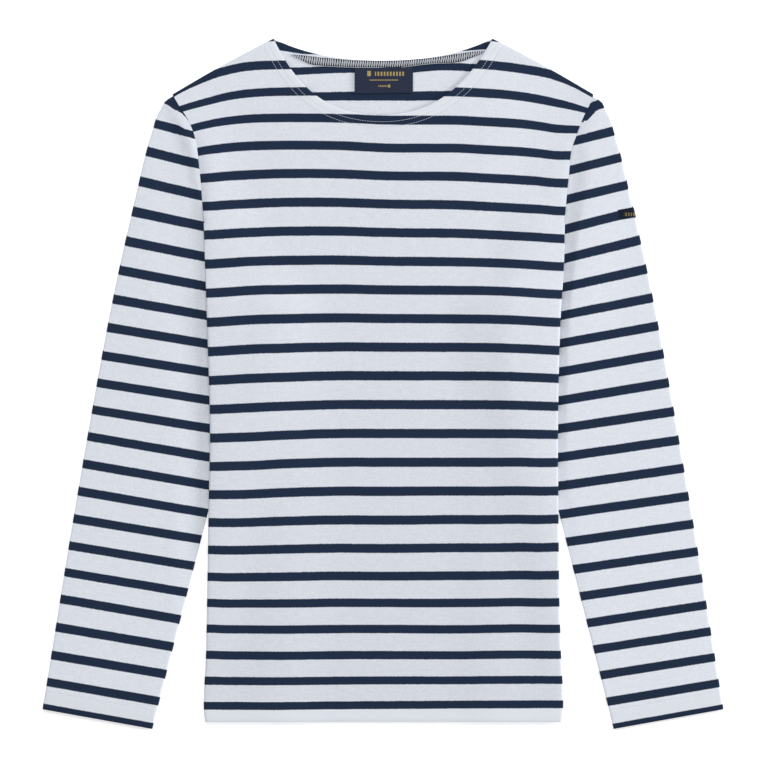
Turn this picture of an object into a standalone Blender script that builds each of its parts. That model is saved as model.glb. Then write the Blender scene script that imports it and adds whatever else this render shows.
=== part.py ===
# Long-sleeved striped jersey shirt, lying flat on its back.
# Its sides are folded under along the whole body, and each sleeve is turned
# back out from under them, so it lies beside the body from the armhole down.
# Sizes are millimetres, scaled to metres where a mesh is made.
# x runs to the wearer's left, y up to the neck, z up from the surface.

import math

import bmesh
import bpy
from mathutils import Vector

MM = 0.001

# Cloth: one wall thickness, and the air kept between two layers.
WALL = 1.0
HALF = WALL / 2
GAP = 0.3
ARMHOLE_GAP = 0.4
PITCH = WALL + GAP

# Body, flat size as it lies.
HEM_Y = -339.0
ARMPIT_Y = 75.0
STRIP_TOP_Y = 160.0
YOKE_Y = 172.0
SHOULDER_TIP = (210.5, 288.5)
NECK_POINT = (109.5, 344.5)
SHOULDER_BULGE = 1.5
BODY_SIDES = {
    "y": (-339, -332, -267, -217, -128, -52, 61, 118, 172, 209, 233, 249, 265, 279, 288.5),
    "right": (178, 179, 177, 176, 174.5, 173, 176, 178, 180, 183, 186, 189, 196, 205, 210.5),
    "left": (179, 180, 178, 176.5, 175.5, 175, 177.5, 181, 182.5, 186, 188.5, 194, 200, 207, 210.5),
}

# Necklines: the lowest point, the rise to the neck points, and how much of
# that rise is a plain parabola on each side.
FRONT_NECK = {"low": 268.0, "rise": 76.5, "right": 0.50, "left": 0.68}
BACK_NECK = {"low": 322.5, "rise": 22.0, "right": 0.75, "left": 0.75}

# The side of the body that is folded under, and the seam lap at the armhole.
STRIP_WIDTH = 54.0
LAP = 3.0
STRIP_START_Y = 178.0
STRIP_CURVE = 1.5
LAP_END_Y = 190.0
LAP_FADE = 25.0
POCKET_TOP_Y = 110.0
POCKET_FADE = 32.0

# How the body rides over what is tucked under it: how far past the tucked
# layers it stays up, and how soon it then comes down.
SEAM_MARGIN = 2.0
SEAM_FALL = 12.0
SLEEVE_MARGIN = 8.0
SLEEVE_FALL = 20.0
FOLD_FALL = 18.0

# Front's loft over the back, where only air lies between them.
FRONT_LOFT = 1.2
LOFT_REACH = 70.0
LOFT_START = 30.0
LOFT_RISE = 60.0

# Sleeve as it lies: outer fold, cuff corners and the inner fold's upper end.
SLEEVE_OUTER = {
    "y": (-325, -107, 93, 193, 233, 253, 265, 276, 282, 288.5),
    "x": (340.5, 305, 268.5, 246, 236.5, 230.5, 227, 221.5, 218, 207.5),
}
CUFF_OUTER = (340.5, -325.0)
CUFF_INNER = (230.5, -344.5)
ARMPIT = (124.0, 75.0)
SLEEVE_LOFT = 1.5
SLEEVE_LOFT_START = 5.0
SLEEVE_LOFT_WIDTH = 25.0

# Small pieces.
LABEL = {"x": 1.5, "y": 303.5, "width": 55.0, "height": 27.0, "thickness": 0.8}
TAB = {"y": 169.0, "length": 18.0, "height": 10.0, "thickness": 0.8,
       "tilt": 0.17, "turn": math.radians(75), "clear": 0.3}

# Mesh steps.
BODY_COLUMNS = 22
STRIP_COLUMNS = 3
NECK_COLUMNS = 12
LOWER_ROWS = 14
STRIP_ROWS = 4
YOKE_ROWS = 7
ARMHOLE_ROWS = 8
ARC_STEPS = 4
SLEEVE_COLUMNS = ARMHOLE_ROWS
SLEEVE_RINGS = (0, 0.012, 0.04, 0.08, 0.13, 0.19, 0.26, 0.33, 0.40,
                0.47, 0.54, 0.61, 0.68, 0.75, 0.82, 0.89, 0.95, 1)

RIGHT = -1
LEFT = 1
SIDE_NAMES = {RIGHT: "right", LEFT: "left"}


def mix(a, b, t):
    return a + (b - a) * t


def ease(t):
    # 0 below 0, 1 above 1, smooth in between.
    t = min(max(t, 0.0), 1.0)
    return t * t * (3 - 2 * t)


def read_curve(keys, values, key):
    # A smooth curve through a table's points, straight beyond its ends.
    if key <= keys[0]:
        return values[0]
    if key >= keys[-1]:
        return values[-1]
    slopes = [(values[i + 1] - values[i]) / (keys[i + 1] - keys[i]) for i in range(len(keys) - 1)]
    i = max(n for n in range(len(keys) - 1) if keys[n] <= key)
    span = keys[i + 1] - keys[i]
    t = (key - keys[i]) / span
    start = slopes[i] if i == 0 else (slopes[i - 1] + slopes[i]) / 2
    end = slopes[i] if i == len(slopes) - 1 else (slopes[i] + slopes[i + 1]) / 2
    near = values[i] * (1 + 2 * t) * (1 - t) ** 2 + start * span * t * (1 - t) ** 2
    far = values[i + 1] * t * t * (3 - 2 * t) + end * span * t * t * (t - 1)
    return near + far


def body_edge(side, y):
    # Outline of the body: the armhole seam above, the folded side below.
    return side * read_curve(BODY_SIDES["y"], BODY_SIDES[SIDE_NAMES[side]], y)


def strip_width(y):
    # Width of cloth folded under: only a seam lap at the shoulder.
    reach = (STRIP_START_Y - y) / (STRIP_START_Y - ARMPIT_Y)
    reach = min(max(reach, 0.0), 1.0)
    return LAP + (STRIP_WIDTH - LAP) * reach ** STRIP_CURVE


def mouth(side, y):
    # The sleeve's mouth: where it is sewn into the armhole.
    return body_edge(side, y) - side * strip_width(y)


def sleeve_inner(side, y):
    t = (ARMPIT[1] - y) / (ARMPIT[1] - CUFF_INNER[1])
    return side * mix(ARMPIT[0], CUFF_INNER[0], t)


def sleeve_reach(side, y):
    # How far in the sleeve goes under the body.
    return mouth(side, y) if y > ARMPIT_Y else sleeve_inner(side, y)


def past(side, x, limit):
    # Distance from a limit towards the middle of the shirt.
    return (limit - x) * side


def strip_share(y):
    # 0 where the armhole seam shows, 1 where the side is folded under.
    return ease((LAP_END_Y - y) / LAP_FADE)


def pocket_share(y):
    # 0 above the armpit, 1 where back layers are folded under too.
    return ease((POCKET_TOP_Y - y) / POCKET_FADE)


def over_sleeve(x, y):
    # Share of the height of the sleeve's two layers that this point stands on.
    share = 0.0
    for side in (RIGHT, LEFT):
        margin = mix(SEAM_MARGIN, SLEEVE_MARGIN, strip_share(y))
        fall = mix(SEAM_FALL, SLEEVE_FALL, strip_share(y))
        inside = past(side, x, sleeve_reach(side, y))
        share += ease((margin + fall - inside) / fall)
    return share


def over_fold(x, y):
    # Share of the height of the folded strips that this point stands on.
    share = 0.0
    for side in (RIGHT, LEFT):
        inside = past(side, x, body_edge(side, y)) - STRIP_WIDTH
        share += ease((FOLD_FALL - inside) / FOLD_FALL)
    return share


def shoulder_distance(x, y):
    ax, ay = NECK_POINT
    bx, by = SHOULDER_TIP
    along = Vector((bx - ax, by - ay))
    point = Vector((abs(x) - ax, y - ay))
    t = min(max(point.dot(along) / along.length_squared, 0), 1)
    return (point - along * t).length


def front_height(x, y):
    # Middle of the front's wall.
    sleeve = PITCH * (1 + strip_share(y)) * over_sleeve(x, y)
    folds = 2 * PITCH * pocket_share(y) * over_fold(x, y)
    side = RIGHT if x < 0 else LEFT
    clear = past(side, x, body_edge(side, y)) - LOFT_START
    loft = FRONT_LOFT * ease(shoulder_distance(x, y) / LOFT_REACH) * ease(clear / LOFT_RISE)
    return HALF + PITCH + sleeve + folds + loft


def under_height(x, y):
    # Middle of the strip of the front that is folded under.
    return HALF + 2 * PITCH * over_sleeve(x, y)


def neckline(neck, r):
    # r runs from -1 at the right neck point to 1 at the left one.
    share = neck["right"] if r < 0 else neck["left"]
    rise = share * r ** 2 + (1 - share) * r ** 4
    return (r * NECK_POINT[0], neck["low"] + neck["rise"] * rise)


def shoulder_point(side, t, tip):
    # t runs from 0 at the shoulder tip to 1 at the neck point.
    x = mix(tip[0], NECK_POINT[0], t)
    y = mix(tip[1], NECK_POINT[1], t) + SHOULDER_BULGE * 4 * t * (1 - t)
    return (side * x, y)


def top_line(neck, tip, shoulder_columns):
    # Right shoulder, neckline and left shoulder as one row of points.
    points = [shoulder_point(RIGHT, i / shoulder_columns, tip) for i in range(shoulder_columns)]
    for i in range(NECK_COLUMNS + 1):
        angle = math.pi * (i / NECK_COLUMNS - 0.5)
        points.append(neckline(neck, math.sin(angle)))
    points += [shoulder_point(LEFT, 1 - i / shoulder_columns, tip)
               for i in range(1, shoulder_columns + 1)]
    return points


def patch(bottom, top, left, right):
    # Rows of plan points between four edges that share their corners.
    columns = len(bottom) - 1
    rows = len(left) - 1
    grid = []
    for r in range(rows + 1):
        t = r / rows
        row = []
        for c in range(columns + 1):
            s = c / columns
            point = []
            for axis in (0, 1):
                edges = mix(bottom[c][axis], top[c][axis], t) + mix(left[r][axis], right[r][axis], s)
                low = mix(bottom[0][axis], bottom[-1][axis], s)
                high = mix(top[0][axis], top[-1][axis], s)
                point.append(edges - mix(low, high, t))
            row.append(tuple(point))
        grid.append(row)
    return grid


def fold_radius(y):
    # Middle radius of the front's side fold.
    return (PITCH + 2 * PITCH * pocket_share(y)) / 2


def body_row(y):
    # Plan points across the body; the outer three columns lie over a strip.
    inset = fold_radius(y) + HALF if y <= STRIP_TOP_Y else 0.0
    starts = {side: body_edge(side, y) - side * inset for side in (RIGHT, LEFT)}
    ends = {side: body_edge(side, y) - side * STRIP_WIDTH for side in (RIGHT, LEFT)}
    middle = BODY_COLUMNS - 2 * STRIP_COLUMNS
    row = [mix(starts[RIGHT], ends[RIGHT], i / STRIP_COLUMNS) for i in range(STRIP_COLUMNS)]
    row += [mix(ends[RIGHT], ends[LEFT], i / middle) for i in range(middle)]
    row += [mix(ends[LEFT], starts[LEFT], i / STRIP_COLUMNS) for i in range(STRIP_COLUMNS + 1)]
    return [(x, y) for x in row]


def lower_rows():
    return [mix(HEM_Y, ARMPIT_Y, i / LOWER_ROWS) for i in range(LOWER_ROWS + 1)]


def strip_rows():
    return [mix(ARMPIT_Y, STRIP_TOP_Y, i / STRIP_ROWS) for i in range(1, STRIP_ROWS + 1)]


def make_material(name, colour, roughness):
    material = bpy.data.materials.new(name)
    material.use_nodes = True
    shader = material.node_tree.nodes["Principled BSDF"]
    shader.inputs["Base Color"].default_value = (*colour, 1)
    shader.inputs["Roughness"].default_value = roughness
    shader.inputs["Metallic"].default_value = 0
    return material


def make_wall(name, nodes, cells, material, wrap=None, turned=()):
    # nodes: (row, column) to a middle point, its outward direction and the
    # half thickness there. cells: the lower corner of each part of the grid
    # that holds cloth. wrap: the number of columns of a closed tube.
    mesh = bmesh.new()
    outer = {}
    inner = {}
    for key, (point, normal, half) in nodes.items():
        outer[key] = mesh.verts.new((point + normal * half) * MM)
        inner[key] = mesh.verts.new((point - normal * half) * MM)
    loops = []
    for r, c in cells:
        d = c + 1 if wrap is None else (c + 1) % wrap
        corners = [(r, c), (r, d), (r + 1, d), (r + 1, c)]
        if c in turned:
            corners = corners[1:] + corners[:1]
        loops.append(corners)
    used = set()
    for corners in loops:
        mesh.faces.new([outer[key] for key in corners])
        mesh.faces.new([inner[corners[i]] for i in (0, 3, 2, 1)])
        used.update(zip(corners, corners[1:] + corners[:1]))
    for a, b in sorted(used):
        if (b, a) not in used:
            mesh.faces.new((outer[b], outer[a], inner[a], inner[b]))
    bmesh.ops.triangulate(mesh, faces=mesh.faces[:], quad_method="FIXED")
    bmesh.ops.recalc_face_normals(mesh, faces=mesh.faces[:])
    data = bpy.data.meshes.new(name)
    mesh.to_mesh(data)
    mesh.free()
    data.materials.append(material)
    piece = bpy.data.objects.new(name, data)
    bpy.context.scene.collection.objects.link(piece)
    return piece


def arc_nodes(start, outward, radius):
    # Middle points of a half turn from above to below, without its ends.
    nodes = []
    for i in range(1, ARC_STEPS):
        angle = math.pi * i / ARC_STEPS
        normal = outward * math.sin(angle) + Vector((0, 0, math.cos(angle)))
        centre = start - Vector((0, 0, radius))
        nodes.append((centre + normal * radius, normal, HALF))
    return nodes


def front_side(side, row):
    # Fold and under strip beside one end of a row, from the fold inwards.
    x, y = row[0] if side == RIGHT else row[-1]
    start = Vector((x, y, front_height(x, y)))
    nodes = arc_nodes(start, Vector((side, 0, 0)), fold_radius(y))
    end = mouth(side, y)
    for i in range(STRIP_COLUMNS + 1):
        strip_x = mix(x, end, i / STRIP_COLUMNS)
        height = front_height(x, y) - 2 * fold_radius(y) if i == 0 else under_height(strip_x, y)
        nodes.append((Vector((strip_x, y, height)), Vector((0, 0, -1)), HALF))
    return nodes


def make_front(material):
    up = Vector((0, 0, 1))
    plan = [body_row(y) for y in lower_rows() + strip_rows()]
    strip_count = len(plan)
    base = body_row(YOKE_Y)
    edges = {}
    for side in (RIGHT, LEFT):
        ys = [mix(YOKE_Y, SHOULDER_TIP[1], i / YOKE_ROWS) for i in range(YOKE_ROWS + 1)]
        edges[side] = [(body_edge(side, y), y) for y in ys]
    top = top_line(FRONT_NECK, SHOULDER_TIP, (BODY_COLUMNS - NECK_COLUMNS) // 2)
    plan += patch(base, top, edges[RIGHT], edges[LEFT])
    side_count = ARC_STEPS + STRIP_COLUMNS
    last = side_count + BODY_COLUMNS
    nodes = {}
    for r, row in enumerate(plan):
        for i, (x, y) in enumerate(row):
            nodes[r, side_count + i] = (Vector((x, y, front_height(x, y))), up, HALF)
        if r < strip_count:
            for i, node in enumerate(front_side(RIGHT, row)):
                nodes[r, side_count - 1 - i] = node
            for i, node in enumerate(front_side(LEFT, row)):
                nodes[r, last + 1 + i] = node
    cells = []
    for r in range(len(plan) - 1):
        folded = r < strip_count - 1
        first = 0 if folded else side_count
        stop = last + side_count if folded else last
        cells += [(r, c) for c in range(first, stop)]
    turned = set(range(STRIP_COLUMNS)) | set(range(last + ARC_STEPS, last + side_count))
    return make_wall("front", nodes, cells, material, turned=turned)


def back_node(x, y, column):
    # Two layers lie folded over the outer columns, as one thicker wall.
    folded = column <= STRIP_COLUMNS or column >= BODY_COLUMNS - STRIP_COLUMNS
    low = 2 * PITCH * over_sleeve(x, y) + PITCH * over_fold(x, y)
    thick = WALL + PITCH if folded else WALL
    return (Vector((x, y, low + thick / 2)), Vector((0, 0, 1)), thick / 2)


def make_back(material):
    up = Vector((0, 0, 1))
    plan = [body_row(y) for y in lower_rows()]
    nodes = {}
    for r, row in enumerate(plan):
        for c, (x, y) in enumerate(row):
            nodes[r, c] = back_node(x, y, c)
    first = STRIP_COLUMNS
    last = BODY_COLUMNS - STRIP_COLUMNS
    edges = {}
    for side in (RIGHT, LEFT):
        ys = [mix(ARMPIT_Y, SHOULDER_TIP[1], i / ARMHOLE_ROWS) for i in range(ARMHOLE_ROWS + 1)]
        edges[side] = [(mouth(side, y) - side * ARMHOLE_GAP, y) for y in ys]
    tip = (edges[LEFT][-1][0], SHOULDER_TIP[1])
    top = top_line(BACK_NECK, tip, (last - first - NECK_COLUMNS) // 2)
    upper = patch(plan[-1][first:last + 1], top, edges[RIGHT], edges[LEFT])
    for r, row in enumerate(upper[1:], start=len(plan)):
        for c, (x, y) in enumerate(row):
            nodes[r, first + c] = (Vector((x, y, HALF)), up, HALF)
    cells = [(r, c) for r in range(LOWER_ROWS) for c in range(BODY_COLUMNS)]
    cells += [(LOWER_ROWS + r, c) for r in range(ARMHOLE_ROWS) for c in range(first, last)]
    return make_wall("back", nodes, cells, material)


def sleeve_height(side, x, y):
    # Middle of the sleeve's upper layer: flat where the body lies on it.
    outside = -past(side, x, body_edge(side, y)) - SLEEVE_LOFT_START
    return HALF + PITCH + SLEEVE_LOFT * ease(outside / SLEEVE_LOFT_WIDTH)


def make_sleeve(side, material):
    name = "sleeve_" + SIDE_NAMES[side]
    plan_mouth = []
    for i in range(SLEEVE_COLUMNS + 1):
        y = mix(SHOULDER_TIP[1], ARMPIT_Y, i / SLEEVE_COLUMNS)
        plan_mouth.append(Vector((mouth(side, y), y)))
    cuff_outer = Vector((side * CUFF_OUTER[0], CUFF_OUTER[1]))
    cuff_inner = Vector((side * CUFF_INNER[0], CUFF_INNER[1]))
    nodes = {}
    for r, v in enumerate(SLEEVE_RINGS):
        outer_y = mix(SHOULDER_TIP[1], CUFF_OUTER[1], v)
        outer = Vector((side * read_curve(SLEEVE_OUTER["y"], SLEEVE_OUTER["x"], outer_y), outer_y))
        if v == 0:
            outer = plan_mouth[0]
        inner = mix(plan_mouth[-1], cuff_inner, v)
        ring = []
        for i, start in enumerate(plan_mouth):
            u = i / SLEEVE_COLUMNS
            along = mix(start, mix(cuff_outer, cuff_inner, u), v) + mix(outer, inner, u)
            low = mix(plan_mouth[0], plan_mouth[-1], u)
            high = mix(cuff_outer, cuff_inner, u)
            ring.append(along - mix(low, high, v))
        for i, end in ((0, 1), (-1, -2)):
            inward = (ring[end] - ring[i]).normalized()
            height = sleeve_height(side, *ring[i])
            ring[i] = ring[i] + inward * ((height - HALF) / 2 + HALF)
        section = []
        for x, y in ring:
            section.append((Vector((x, y, sleeve_height(side, x, y))), Vector((0, 0, 1)), HALF))
        for i, other in ((-1, -2), (0, 1)):
            outward = (ring[i] - ring[other]).normalized().to_3d()
            top = section[SLEEVE_COLUMNS if i else 0][0]
            turn = arc_nodes(top, outward, (top.z - HALF) / 2)
            if i == 0:
                turn.reverse()
            section += turn
            if i:
                section += [(Vector((x, y, HALF)), Vector((0, 0, -1)), HALF) for x, y in reversed(ring)]
        if side == RIGHT:
            section.reverse()
        for c, node in enumerate(section):
            nodes[r, c] = node
    count = len(section)
    cells = [(r, c) for r in range(len(SLEEVE_RINGS) - 1) for c in range(count)]
    return make_wall(name, nodes, cells, material, wrap=count)


def make_label(material):
    # A woven rectangle sewn inside the back, under the neckline.
    low = WALL + GAP
    mesh = bmesh.new()
    bmesh.ops.create_cube(mesh, size=1)
    size = (LABEL["width"], LABEL["height"], LABEL["thickness"])
    bmesh.ops.scale(mesh, vec=Vector(size) * MM, verts=mesh.verts[:])
    data = bpy.data.meshes.new("neck_label")
    mesh.to_mesh(data)
    mesh.free()
    data.materials.append(material)
    piece = bpy.data.objects.new("neck_label", data)
    piece.location = Vector((LABEL["x"], LABEL["y"], low + LABEL["thickness"] / 2)) * MM
    bpy.context.scene.collection.objects.link(piece)
    return piece


def make_tab(material):
    # A small woven tab on the left sleeve that turns down over its outer fold.
    half = TAB["thickness"] / 2
    radius = PITCH / 2 + SLEEVE_LOFT / 2 + HALF + GAP + half
    top = HALF + PITCH + SLEEVE_LOFT + HALF + GAP + half
    angles = [0.0, 0.0] + [TAB["turn"] * i / (ARC_STEPS - 1) for i in range(1, ARC_STEPS)]
    nodes = {}
    for r in range(2):
        for c, angle in enumerate(angles):
            inward = TAB["length"] if c == 0 else 0.0
            y = TAB["y"] + TAB["height"] * (r - 0.5) + TAB["tilt"] * (TAB["length"] / 2 - inward)
            fold = read_curve(SLEEVE_OUTER["y"], SLEEVE_OUTER["x"], y) - radius + GAP + half + TAB["clear"]
            x = fold - inward + radius * math.sin(angle)
            point = Vector((x, y, top - radius * (1 - math.cos(angle))))
            nodes[r, c] = (point, Vector((math.sin(angle), 0, math.cos(angle))), half)
    cells = [(0, c) for c in range(len(angles) - 1)]
    return make_wall("sleeve_tab", nodes, cells, material)


def main():
    for old in list(bpy.data.objects):
        bpy.data.objects.remove(old)
    jersey = make_material("cotton_jersey", (0.70, 0.74, 0.79), 0.9)
    woven = make_material("woven_label", (0.022, 0.034, 0.075), 0.7)
    make_front(jersey)
    make_back(jersey)
    make_sleeve(RIGHT, jersey)
    make_sleeve(LEFT, jersey)
    make_label(woven)
    make_tab(woven)


main()
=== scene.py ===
import math
import bmesh
import bpy
from mathutils import Matrix, Vector, noise


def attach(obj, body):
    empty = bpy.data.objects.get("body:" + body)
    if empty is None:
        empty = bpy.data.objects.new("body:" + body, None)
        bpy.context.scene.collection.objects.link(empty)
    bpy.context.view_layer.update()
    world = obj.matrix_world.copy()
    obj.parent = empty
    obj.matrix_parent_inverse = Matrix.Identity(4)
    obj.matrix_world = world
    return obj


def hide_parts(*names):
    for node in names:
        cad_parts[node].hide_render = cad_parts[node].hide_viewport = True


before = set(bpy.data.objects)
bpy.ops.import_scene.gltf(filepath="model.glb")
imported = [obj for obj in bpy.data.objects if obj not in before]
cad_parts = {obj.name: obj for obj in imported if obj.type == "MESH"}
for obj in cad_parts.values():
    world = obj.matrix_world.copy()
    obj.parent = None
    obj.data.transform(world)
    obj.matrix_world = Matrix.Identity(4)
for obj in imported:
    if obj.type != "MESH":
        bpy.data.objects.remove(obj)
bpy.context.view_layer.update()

# Lengths are millimetres until a mesh is made. The photograph's pixels are a millimetre each.
mm = 0.001
right, left = -1, 1  # the wearer's sides

cloth = {
    "wall": 1.0,  # double cloth at the hem, cuffs and neck
    "single": 0.8,  # share of it where the cloth is one layer
    "pitch": 1.3,  # from the middle of one layer to the next
    "repeat": 28.5,  # one white and one navy stripe
    "step": 4.0,  # mesh step
    "turnSteps": 6,  # mesh steps round a fold
    "hemBand": 22.0,  # turned in at the hem and cuffs
    "neckBand": 12.0,
    "far": 400.0,  # stands for no edge nearby
}

body = {
    "hemY": -339.0,
    "armpitY": 75.0,
    "stripTopY": 160.0,  # the folds along the sides end here
    "yokeY": 172.0,  # the front is a single sheet above this
    "tip": (210.5, 288.5),  # outer end of the shoulder
    "neck": (109.5, 344.5),  # inner end of the shoulder
    "bulge": 1.5,  # of the shoulder line
    "stripWidth": 54.0,  # folded under along each side
    "lap": 3.0,  # its width where it starts
    "stripStartY": 178.0,
    "stripCurve": 1.5,
    "loft": 1.2,  # of the front over the back
}

bodySides = {
    "y": (-339, -332, -267, -217, -128, -52, 61, 118, 172, 209, 233, 249, 265, 279, 288.5),
    right: (178, 179, 177, 176, 174.5, 173, 176, 178, 180, 183, 186, 189, 196, 205, 210.5),
    left: (179, 180, 178, 176.5, 175.5, 175, 177.5, 181, 182.5, 186, 188.5, 194, 200, 207, 210.5),
}

frontNeck = {"low": 268.0, "rise": 76.5, right: 0.50, left: 0.68}
backNeck = {"low": 322.5, "rise": 22.0, right: 0.75, left: 0.75}

# Height of each stripe at the middle of the front. The list starts four stripes above the first.
middleStripes = (
    434.7, 406.1, 377.5, 348.9, 320.3, 291.6, 262.8, 235.1, 207.2, 179.0, 150.5,
    121.8, 93.1, 64.5, 35.8, 7.2, -21.6, -50.5, -79.2, -108.3, -137.2, -165.5,
    -193.2, -219.9, -245.9, -272.1, -297.4, -321.9, -346.7, -371.4, -395.8, -420.1, -444.1,
)

# How far each stripe of the front, counted from the shoulders, hangs below its height at the middle.
stripeDroop = {
    "stripe": (0, 1, 2, 5, 8, 11, 14, 17, 20, 23),
    "x": (-212, -200, -171, -158, -133, -103, -43, 2, 77, 107, 137, 157, 172, 200, 212),
    "drop": (
        (34.0, 26.0, 12.5, 8.2, 3.4, 2.4, 1.2, 0.0, 1.0, 2.4, 5.9, 9.1, 12.9, 26.0, 34.0),
        (20.5, 16.8, 8.9, 5.6, 1.9, 0.4, 0.2, 0.0, 0.7, 2.0, 4.8, 8.0, 11.1, 18.0, 22.0),
        (12.5, 10.2, 3.2, 1.0, -1.5, -2.2, -1.8, 0.0, 0.3, 1.9, 3.6, 6.0, 8.4, 9.6, 10.0),
        (2.8, 2.6, 2.2, 1.2, -0.2, -1.5, -1.5, 0.0, 1.1, 2.6, 4.3, 5.5, 6.8, 7.5, 7.8),
        (4.2, 4.0, 3.3, 2.5, 0.7, -0.1, -0.8, 0.0, 0.6, 1.1, 2.4, 3.7, 4.5, 5.0, 5.2),
        (5.0, 5.0, 4.8, 4.1, 2.7, 1.6, -0.1, 0.0, 0.1, 0.3, 1.1, 1.9, 2.6, 3.0, 3.1),
        (4.2, 4.2, 4.1, 3.9, 3.3, 1.7, 0.0, 0.0, 0.0, 0.0, -0.2, 0.3, 0.2, 0.2, 0.2),
        (1.0, 1.0, 1.2, 1.6, 1.4, 0.7, -0.3, 0.0, -0.8, -0.8, -1.3, -1.1, -1.5, -1.6, -1.6),
        (-0.8, -0.8, -0.5, 0.1, 0.3, 0.5, 0.0, 0.0, 0.3, -0.3, -0.7, -0.4, -0.4, -0.4, -0.4),
        (0.5, 0.5, 0.6, 0.7, 0.8, 0.8, 0.3, 0.0, -0.5, -0.7, -0.8, -1.0, -0.9, -0.9, -0.9),
    ),
}

# How far three stripes inside the back's neck lie below the photograph's top edge.
backRows = {
    "x": (-200, -120, -96, -82, -68, -30, 30, 55, 80, 104, 120, 200),
    "top": (
        (66.0, 44.5, 47.5, 50.4, 51.2, 52.0, 50.0, 49.0, 47.9, 45.4, 44.0, 66.0),
        (93.0, 73.0, 71.0, 70.3, 69.5, 68.0, 68.0, 65.3, 66.0, 68.5, 71.0, 93.0),
        (112.5, 98.5, 96.8, 96.6, 96.4, 95.9, 95.8, 95.7, 95.7, 96.5, 98.5, 112.5),
    ),
}

foldFall = {right: 58.0, left: 44.0}  # how gently the front comes down off its folded sides

# Rise and width of the roll along each side.
roll = {
    "y": (-339, -250, -150, -50, 60, 140, 220, 288),
    right: ((0.4, 0.4, 0.35, 0.55, 0.6, 1.3, 1.9, 0.0), (14, 14, 9, 7, 5, 3, 3, 6)),
    left: ((0.6, 0.9, 1.2, 1.5, 1.8, 1.5, 0.6, 0.0), (14, 20, 30, 42, 46, 42, 24, 12)),
    "fade": 75.0,
}

# Soft troughs and ridges: middle, half length, half width, turn and height.
creases = (
    (106, -90, 110, 13, 1.57, -0.08),
    (136, 118, 34, 16, 0.25, 0.55),
    (-60, -232, 70, 20, 0.12, 0.30),
    (70, -262, 80, 16, -0.08, -0.25),
    (-105, 60, 70, 14, 1.35, -0.12),
    (20, 20, 90, 26, 0.05, 0.25),
    (158, 190, 30, 9, 2.2, -0.45),
    (-116, 322, 16, 4, 1.2, -0.40),
    (-96, 309, 16, 4, 0.9, -0.30),
    (117, 320, 18, 5, 1.95, -0.40),
    (88, 296, 20, 5, 2.2, -0.25),
)

sleeve = {
    "cuffOuter": (340.7, -326.2),
    "cuffInner": (230.7, -345.9),
    "armpit": (124.0, 75.0),
    "loftY": (-345, -177, -97, -17, 63, 133, 203, 253, 289),
    "loftStart": {  # how far outside the body it starts to rise
        right: (4, 6, 8, 12, 18, 22, 24, 18, 4),
        left: (1, 1, 1, 1, 1, 1, 1, 0, 0),
    },
    "loftWidth": {
        right: (30, 30, 30, 32, 36, 40, 36, 26, 20),
        left: (30, 30, 10, 8, 8, 12, 21, 16, 15),
    },
    "loft": {
        right: (1.6, 1.6, 1.4, 1.3, 1.3, 1.3, 1.3, 1.0, 0.3),
        left: (1.4, 1.2, 1.5, 2.5, 3.8, 4.2, 3.5, 1.6, 0.3),
    },
    "crest": {  # a low ridge close beside the body
        right: (0, 0, 0, 0, 0.0, 1.3, 2.1, 2.6, 0.6),
        left: (0, 0, 0, 0, 0, 0, 0, 0.5, 0.3),
    },
    "crestStart": {
        right: (0, 0, 0, 0, -2, -2, -2, 5, 3),
        left: (0, 0, 0, 0, 0, 0, 0, 3, 2),
    },
    "crestWidth": 15.0,
    "curl": 0.55,  # how far the head stripe runs down the armhole, in stripes
    "curlReach": 10.0,
    "cuffBand": 19.0,
    "length": 620.0,
    "outerY": (-325, -107, 93, 193, 233, 253, 265, 276, 282, 288.5),
    "outerX": (340.5, 305, 268.5, 246, 236.5, 230.5, 227, 221.5, 218, 207.5),
}

# Height of each sleeve stripe along a line near the outer fold and one near the body.
sleeveStripes = {
    "outerLine": ((221.4, 257.6), (328.9, -299.6)),
    "innerLine": ((192.0, 221.0), (235.5, -315.9)),
    "head": {right: (283.5, 278.0), left: (278.8, 269.7)},  # the stripe above the first
    right: {
        "outer": (257.8, 229.5, 199.3, 169.0, 139.3, 110.3, 81.3, 53.2, 25.2, -2.0, -28.9,
                  -55.6, -82.9, -110.2, -137.5, -164.4, -190.8, -217.2, -245.5, -273.3, -300.1, -325.7),
        "inner": (249.0, 221.0, 190.3, 160.3, 130.3, 101.2, 72.3, 44.2, 16.0, -11.5, -39.1,
                  -67.1, -94.9, -122.7, -149.9, -177.3, -204.4, -231.8, -260.3, -288.4, -316.4, -342.8),
    },
    left: {
        "outer": (249.8, 223.0, 195.3, 168.4, 139.8, 110.8, 82.4, 54.5, 26.6, -2.0, -30.6,
                  -59.0, -87.0, -115.0, -142.6, -170.1, -196.9, -223.3, -249.7, -275.3, -301.2, -326.3),
        "inner": (241.9, 214.2, 186.3, 157.6, 128.7, 100.3, 72.4, 44.8, 16.6, -12.0, -40.1,
                  -68.7, -97.1, -125.3, -153.5, -181.5, -209.1, -236.4, -263.4, -289.7, -316.9, -343.5),
    },
}


def blend(a, b, t):
    return a + (b - a) * t


def ease(t):
    t = min(max(t, 0.0), 1.0)
    return t * t * (3 - 2 * t)


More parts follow.
